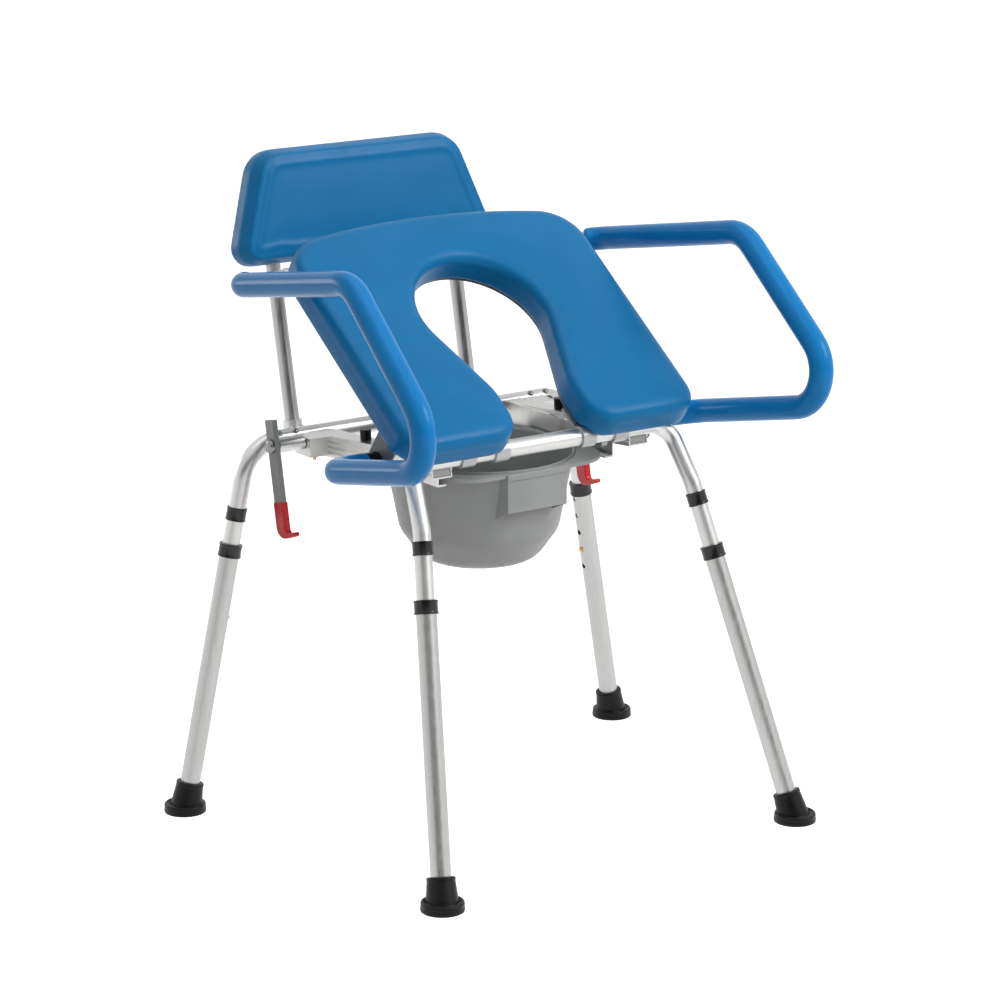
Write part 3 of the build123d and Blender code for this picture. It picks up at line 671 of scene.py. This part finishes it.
# %% Back pad
post_foot = Vector((0.0, 0.2305, 0.445))
up_post = Vector((0.0, sin(post_lean), cos(post_lean)))
behind_post = Vector((0.0, cos(post_lean), -sin(post_lean)))
pad_up_post, pad_behind_post = 0.236, 0.016
back_low = post_foot + pad_up_post * up_post + pad_behind_post * behind_post
back_frame = own_frame(back_low, up_post)
post_across, post_height, socket_reach = 0.140, 0.016, 0.013
post_socket = (post_across, post_height, socket_reach)

back = even_skin("moulded_back", "back_pad", back_frame, voxel=0.0032, rounds=2)
swell(back, height=0.0015, reach=0.06, bead=0.0014, bead_at=0.0205, socket=post_socket)
settle(back, back_frame, pad_skin, "frame", levels=1)
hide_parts("back_pad")

# %% [markdown]
# The foam sleeve of each arm follows the bent tube. It could be a bevelled curve, but bends of a
# set radius are easier to hold in a mesh. It is drawn as a maker bends a tube: a ring of points is
# pushed along each straight run, and spun about the centre of each bend. The ends are drawn in to
# the tube with a small round edge.

# %% Helpers for bent sleeves
bend_steps, ring_sides, run_step = 12, 32, 0.02


def square_to(direction):
    """A turn that brings +Z to a direction."""
    return Vector((0, 0, 1)).rotation_difference(direction).to_matrix().to_4x4()


def pushed(bm, loop, step):
    """Extrudes a loop of edges by a step, and gives the new loop and its points."""
    grown = bmesh.ops.extrude_edge_only(bm, edges=loop)["geom"]
    ring = [part for part in grown if isinstance(part, bmesh.types.BMVert)]
    bmesh.ops.translate(bm, verts=ring, vec=step)
    fresh = set(ring)
    loop = [
        part for part in grown
        if isinstance(part, bmesh.types.BMEdge) and all(v in fresh for v in part.verts)
    ]
    return loop, ring


def bent_sleeve(bm, corners, bends, radius, last_share=1.0):
    """The open skin of a tube along straight runs and bends. The last corner is only a direction
    to turn to, and that bend may stop part way. Gives each end's loop, centre and way out."""
    heading = (corners[1] - corners[0]).normalized()
    start = Matrix.Translation(corners[0]) @ square_to(heading)
    made = bmesh.ops.create_circle(
        bm, cap_ends=False, segments=ring_sides, radius=radius, matrix=start
    )
    loop = list(dict.fromkeys(edge for v in made["verts"] for edge in v.link_edges))
    first = (loop, corners[0], -heading)
    place = corners[0]
    for index, bend in enumerate(bends):
        goal = corners[index + 1]
        heading = (goal - place).normalized()
        leaving = (corners[index + 2] - goal).normalized()
        angle = heading.angle(leaving)
        stop = goal - heading * bend * tan(angle / 2)
        pushes = max(1, round((stop - place).length / run_step))
        for _ in range(pushes):
            loop, _ring = pushed(bm, loop, (stop - place) / pushes)
        share = last_share if index == len(bends) - 1 else 1.0
        axis = heading.cross(leaving).normalized()
        centre = stop + axis.cross(heading) * bend
        turned = bmesh.ops.spin(
            bm, geom=loop, cent=centre, axis=axis, angle=angle * share, steps=bend_steps,
            use_merge=False,
        )["geom_last"]
        loop = [part for part in turned if isinstance(part, bmesh.types.BMEdge)]
        turned_by = Matrix.Rotation(angle * share, 3, axis)
        place = centre + turned_by @ (stop - centre)
        heading = turned_by @ heading
    return first, (loop, place, heading)


def close_end(bm, end, bore, steps):
    """Draws an end loop in to the tube, over a round edge, and closes it."""
    loop, centre, outward = end
    for radius, push in (*steps, (bore, steps[-1][1])):
        loop, ring = pushed(bm, loop, (0, 0, 0))
        middle = sum((v.co for v in ring), Vector()) / len(ring)
        size = (ring[0].co - middle).length
        bmesh.ops.scale(
            bm, verts=ring, vec=(radius / size,) * 3, space=Matrix.Translation(-middle)
        )
        bmesh.ops.translate(bm, verts=ring, vec=centre + outward * push - middle)
    bmesh.ops.edgeloop_fill(bm, edges=loop)


print("helpers for sleeves: a ring has", ring_sides, "sides")

# %% Foam on the arms
foam_radius, foam_bore = 0.0156, 0.0113
low_edge = ((0.0150, 0.0012), (0.0136, 0.0021))
rear_edge = ((0.0152, 0.0022), (0.0142, 0.0046), (0.0126, 0.0062))
arm_bends = (0.040, 0.050, 0.050, 0.040)
rear_bend_share = 0.55
arm_corners = (
    (0.2230, 0.042, -0.0400),
    (0.2780, 0.042, -0.0400),
    (0.3000, -0.162, 0.1830),
    (0.2940, 0.119, 0.2080),
    (0.2780, 0.327, -0.0063),
    (0.2340, 0.327, -0.0063),
)
for side, flip in sides:
    corners = [seat_frame @ Vector((flip * across, along, up)) for across, along, up in arm_corners]
    bm = bmesh.new()
    low_end, rear_end = bent_sleeve(bm, corners, arm_bends, foam_radius, rear_bend_share)
    close_end(bm, low_end, foam_bore, low_edge)
    close_end(bm, rear_end, foam_bore, rear_edge)
    bmesh.ops.remove_doubles(bm, verts=bm.verts, dist=0.00001)
    bmesh.ops.recalc_face_normals(bm, faces=bm.faces)
    mesh = bpy.data.meshes.new(f"{side}_arm_sleeve")
    bm.to_mesh(mesh)
    bm.free()
    sleeve = bpy.data.objects.new(f"{side}_arm_sleeve", mesh)
    scene.collection.objects.link(sleeve)
    settle(sleeve, Matrix.Identity(4), arm_foam, "seat", levels=1)
    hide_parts(f"{side}_arm_grip")

# %% [markdown]
# Many small pieces are round: bushes, pins, bolt heads. Each could be cut from a cylinder, but a
# section that is spun once about an axis, as on a lathe, gives the whole shape in one step. The
# sharp edges are then rounded, because a real edge always catches a little light.

# %% Helpers for turned pieces
leg_foot = {"front": (0.272, -0.296, 0.0), "rear": (0.343, 0.185, 0.0)}
sharp_angle = radians(40)
spin_weld = 0.000005


def leg_place(end, flip, at):
    """A frame on a leg's axis, so far up from the floor, with +Z up the leg."""
    mirrored_to = Vector((flip, 1, 1))
    up = (Vector(leg_run[end]) * mirrored_to).normalized()
    return Matrix.Translation(Vector(leg_foot[end]) * mirrored_to + up * at) @ square_to(up)


def spun(bm, section, place, steps=48):
    """Spins a closed section of (radius, height) points about an axis."""
    before = set(bm.verts)
    points = [bm.verts.new((radius, 0, height)) for radius, height in section]
    edges = [bm.edges.new((points[i - 1], points[i])) for i in range(len(points))]
    bmesh.ops.spin(
        bm, geom=points + edges, cent=(0, 0, 0), axis=(0, 0, 1), angle=2 * pi, steps=steps,
        use_merge=True,
    )
    fresh = [v for v in bm.verts if v not in before]
    bmesh.ops.remove_doubles(bm, verts=fresh, dist=spin_weld)
    bmesh.ops.transform(bm, matrix=place, verts=[v for v in bm.verts if v not in before])
    bmesh.ops.recalc_face_normals(bm, faces=bm.faces)


def round_corners(bm, offset, segments, least=0.6):
    """Rounds every edge where two faces meet at more than an angle, in radians."""
    sharp = [edge for edge in bm.edges if edge.calc_face_angle(0.0) > least]
    bmesh.ops.bevel(
        bm, geom=sharp, offset=offset, segments=segments, profile=0.5, affect="EDGES", material=-1
    )


def small_piece(name, bm, finish, body, slot, *instead):
    """A finished small piece from a bmesh, smooth but for its sharp edges, on its body."""
    bmesh.ops.recalc_face_normals(bm, faces=bm.faces)
    mesh = bpy.data.meshes.new(name)
    bm.to_mesh(mesh)
    bm.free()
    for face in mesh.polygons:
        face.use_smooth = True
    mesh.set_sharp_from_angle(angle=sharp_angle)
    piece = bpy.data.objects.new(name, mesh)
    scene.collection.objects.link(piece)
    even = piece.modifiers.new("even", "WEIGHTED_NORMAL")
    even.keep_sharp = True
    wear(piece, finish)
    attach(piece, body)
    if instead:
        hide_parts(*instead)


print("helpers for turned pieces are ready")

# %% [markdown]
# The collar that guides each telescopic leg, and the ring above it, are bushes of black nylon,
# turned or moulded to look so. The band in the middle is a little thinner than the two rims.

# %% Turned collars and rings
collar_at = {"front": 0.3605, "rear": 0.3465}
ring_at = {"front": 0.431, "rear": 0.394}
bush_round = 0.0005
collar_section = (
    (0.0128, -0.0085), (0.0150, -0.0085), (0.0150, -0.0058), (0.0145, -0.0050), (0.0145, 0.0050),
    (0.0150, 0.0058), (0.0150, 0.0085), (0.0114, 0.0085), (0.0114, 0.0045), (0.0128, 0.0045),
)
ring_section = (
    (0.0112, -0.0085), (0.0131, -0.0085), (0.0131, -0.0062), (0.0127, -0.0056),
    (0.0127, 0.0056), (0.0131, 0.0062), (0.0131, 0.0085), (0.0112, 0.0085),
)
legs = [(end, side, flip) for end in ("front", "rear") for side, flip in sides]
for end, side, flip in legs:
    leg = f"{end}_{side}"
    bm = bmesh.new()
    spun(bm, collar_section, leg_place(end, flip, collar_at[end]))
    round_corners(bm, bush_round, segments=2)
    small_piece(
        f"{leg}_turned_collar", bm, black_nylon, f"{end} {side} leg", "black_plastic",
        f"{leg}_collar",
    )
    bm = bmesh.new()
    spun(bm, ring_section, leg_place(end, flip, ring_at[end]))
    round_corners(bm, bush_round, segments=2)
    small_piece(f"{leg}_turned_ring", bm, black_nylon, "frame", "black_plastic", f"{leg}_ring")
print("collars and rings:", 2 * len(legs))

# %% [markdown]
# Each foot is moulded rubber: a socket that follows the leaning leg, on a dished flange that stands
# flat on the floor. Two spun shapes about two axes are laid into each other, and one voxel remesh
# makes a single skin of them, with the soft inside corners that a mould gives.

# %% Moulded feet
flange_section = (
    (0.0, 0.0), (0.0262, 0.0), (0.0270, 0.0010), (0.0270, 0.0045), (0.0262, 0.0055),
    (0.0266, 0.0065), (0.0266, 0.0100), (0.0256, 0.0116), (0.0240, 0.0120), (0.0228, 0.0112),
    (0.0218, 0.0090), (0.0, 0.0080),
)
socket_section = (
    (0.0, -0.004), (0.0206, -0.004), (0.0200, 0.010), (0.0174, 0.0350), (0.0178, 0.0358),
    (0.0178, 0.0385), (0.0168, 0.0394), (0.0128, 0.0394), (0.0128, 0.0130), (0.0, 0.0130),
)
foot_steps = 64
sole_band = 0.0014
for end, side, flip in legs:
    bm = bmesh.new()
    on_floor = Matrix.Translation(Vector(leg_foot[end]) * Vector((flip, 1, 1)))
    spun(bm, flange_section, on_floor, foot_steps)
    spun(bm, socket_section, leg_place(end, flip, 0.0), foot_steps)
    mesh = bpy.data.meshes.new(f"{end}_{side}_moulded_foot")
    bm.to_mesh(mesh)
    bm.free()
    foot = bpy.data.objects.new(f"{end}_{side}_moulded_foot", mesh)
    scene.collection.objects.link(foot)
    new_skin(foot, voxel=0.0011, rounds=2)
    for v in foot.data.vertices:
        if v.co.z < sole_band:
            v.co.z = 0.0
    settle(foot, Matrix.Identity(4), foot_rubber, f"{end} {side} leg", levels=0)
    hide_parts(f"{end}_{side}_foot")

# %% [markdown]
# The end of each lever is bent forward into a hook and dipped in red vinyl, which is thick and round
# at every edge. Its side view is a flat face with rounded corners, pushed to the thickness of the bar.

# %% Dipped lever tips
lever_lean = radians(11.0)
lever_across, lever_along, lever_height = 0.2355, 0.1285, 0.478
tip_thick = 0.0094
tip_edge, tip_least = 0.0014, 1.2
tip_view = (
    (0.0102, -0.0710), (0.0102, -0.1172), (-0.0130, -0.1172), (-0.0302, -0.1140),
    (-0.0302, -0.1085), (-0.0100, -0.1108), (-0.0102, -0.0710),
)
tip_rounds = ((1, 0.0150, 8), (2, 0.0060, 4), (3, 0.0024, 4), (4, 0.0024, 4), (5, 0.0060, 5))
for side, flip in sides:
    pivot = (flip * lever_across, lever_along, lever_height)
    lever_frame = own_frame(pivot, (0.0, cos(lever_lean), -sin(lever_lean)))
    bm = bmesh.new()
    corners = [bm.verts.new((-tip_thick / 2, along, up)) for along, up in tip_view]
    bm.faces.new(corners)
    for index, offset, segments in tip_rounds:
        bmesh.ops.bevel(
            bm, geom=[corners[index]], offset=offset, segments=segments, profile=0.5,
            affect="VERTICES", material=-1,
        )
    grown = bmesh.ops.extrude_face_region(bm, geom=list(bm.faces))["geom"]
    far = [part for part in grown if isinstance(part, bmesh.types.BMVert)]
    bmesh.ops.translate(bm, verts=far, vec=(tip_thick, 0, 0))
    bmesh.ops.holes_fill(bm, edges=[edge for edge in bm.edges if edge.is_boundary], sides=0)
    bmesh.ops.recalc_face_normals(bm, faces=bm.faces)
    round_corners(bm, tip_edge, segments=3, least=tip_least)
    bmesh.ops.transform(bm, matrix=lever_frame, verts=bm.verts)
    small_piece(
        f"{side}_dipped_tip", bm, red_vinyl, f"{side} lever", "lever_tip", f"{side}_lever_tip"
    )
print("lever tips:", len(sides))

# %% [markdown]
# A bright tube covers each lever's pivot sleeve, and a brass pin with a black washer holds the bolt
# from under the pivot block. All three are small spun sections.

# %% Pivot tubes, pins and washers
tube_section = ((0.0082, 0.0), (0.0098, 0.0), (0.0098, 0.0376), (0.0082, 0.0376))
pin_section = ((0.0, 0.0), (0.0022, 0.0), (0.0022, 0.0028), (0.0014, 0.0040), (0.0, 0.0043))
washer_section = ((0.0, -0.0012), (0.0040, -0.0012), (0.0040, 0.0), (0.0, 0.0))
tube_across = 0.1938
pin_across, pin_along, pin_height = 0.183, 0.1165, 0.4588
pin_steps = 24
for side, flip in sides:
    tube_foot = Matrix.Translation((flip * tube_across, lever_along, lever_height))
    bm = bmesh.new()
    spun(bm, tube_section, tube_foot @ square_to(Vector((flip, 0, 0))))
    round_corners(bm, offset=0.0004, segments=2)
    small_piece(f"{side}_pivot_tube", bm, cross_tube_metal, f"{side} lever", "aluminium")
    pin_foot = Matrix.Translation((flip * pin_across, pin_along, pin_height))
    below = pin_foot @ square_to(Vector((0, 0, -1)))
    bm = bmesh.new()
    spun(bm, washer_section, below, pin_steps)
    small_piece(f"{side}_pin_washer", bm, black_nylon, "frame", "black_plastic")
    bm = bmesh.new()
    spun(bm, pin_section, below, pin_steps)
    small_piece(f"{side}_pivot_pin", bm, brass, "frame", "brass")
print("pivot tubes, washers and pins:", 3 * len(sides))

# %% [markdown]
# Grey plugs of moulded nylon close the open ends of the side rails. Each is a small block with
# rounded edges, set square to its rail.

# %% Rail plugs
grey_nylon = new_finish("grey_nylon", rgb(178, 180, 178), 0.4)
drift_polish(grey_nylon, grain(grey_nylon, 200.0, 3.0), 0.34, 0.46)
relief(grey_nylon, grain(grey_nylon, 1400.0, 2.0), 0.1, 0.0002)

rail_across = 0.150
rail_lean = Vector((0.0, 0.2845, -0.0215)).normalized()
plug_size = Matrix.Diagonal((0.0256, 0.0040, 0.0092, 1.0))
plug_up = -0.0162
plug_along = {"front": 0.0030, "rear": 0.2823}
for side, flip in sides:
    rail_frame = own_frame((flip * rail_across, hinge.y, hinge.z), rail_lean)
    for end, along in plug_along.items():
        plug_place = rail_frame @ Matrix.Translation((0, along, plug_up))
        bm = bmesh.new()
        bmesh.ops.create_cube(bm, size=1.0, matrix=plug_place @ plug_size)
        round_corners(bm, offset=0.0006, segments=2)
        small_piece(f"{side}_{end}_rail_plug", bm, grey_nylon, "frame", "black_plastic")
print("rail plugs:", len(sides) * len(plug_along))

# %% [markdown]
# The pail's mouth has a rolled edge, as blow-moulded and injection-moulded pails do, which keeps the
# thin wall stiff. It is a small ring spun about the pail's own axis. A thicker lip over the handle
# plate is where a hand takes hold to slide the pail out.

# %% Rolled edge and lip of the pail
pail_axis = Matrix.Translation((0.0, 0.016, 0.0))
roll_reach, roll_height, roll_radius, roll_sides = 0.1205, 0.4612, 0.0021, 12
roll_turns = [2 * pi * step / roll_sides for step in range(roll_sides)]
roll_section = [
    (roll_reach + roll_radius * cos(turn), roll_height + roll_radius * sin(turn))
    for turn in roll_turns
]
bm = bmesh.new()
spun(bm, roll_section, pail_axis, steps=128)
small_piece("pail_rolled_edge", bm, pail_plastic, "pail", "pail")

lip_size = Matrix.Diagonal((0.0925, 0.0054, 0.0090, 1.0))
lip_place = Matrix.Translation((0.0, -0.1103, 0.4572))
bm = bmesh.new()
bmesh.ops.create_cube(bm, size=1.0, matrix=lip_place @ lip_size)
round_corners(bm, offset=0.0018, segments=3)
small_piece("pail_front_lip", bm, pail_plastic, "pail", "pail")
print("the pail has its rolled edge and its lip")

# %% [markdown]
# Dome-headed bolts hold the brackets to the rear tube, and four screws hold the seat's metal base to
# the pad above it. Each head is a small spun dome.

# %% Bolts and screws
dome_section = (
    (0.0, -0.0008), (0.0042, -0.0008), (0.0042, 0.0006), (0.0036, 0.0016), (0.0022, 0.0023),
    (0.0, 0.0025),
)
dome_steps = 24
tube_radius = 0.0111
bolt_along, bolt_height = 0.166, 0.476
bolt_out = Vector((0.0, -0.6, 0.8))
bolt_across = {"inner": 0.184, "outer": 0.208}
screw_across, base_under = 0.185, 0.0065
screw_along = {"front": 0.17, "rear": 0.28}
under_seat = seat_frame.to_3x3() @ Vector((0, 0, -1))
for side, flip in sides:
    for name, across in bolt_across.items():
        place = Vector((flip * across, bolt_along, bolt_height)) + tube_radius * bolt_out
        bm = bmesh.new()
        spun(bm, dome_section, Matrix.Translation(place) @ square_to(bolt_out), dome_steps)
        small_piece(f"{side}_{name}_tube_bolt", bm, bolt_steel, "frame", "dark_steel")
    for name, along in screw_along.items():
        place = seat_frame @ Vector((flip * screw_across, along, base_under))
        bm = bmesh.new()
        spun(bm, dome_section, Matrix.Translation(place) @ square_to(under_seat), dome_steps)
        small_piece(f"{side}_{name}_base_screw", bm, bright_steel, "seat", "bright_steel")
print("bolts and screws:", len(sides) * (len(bolt_across) + len(screw_along)))
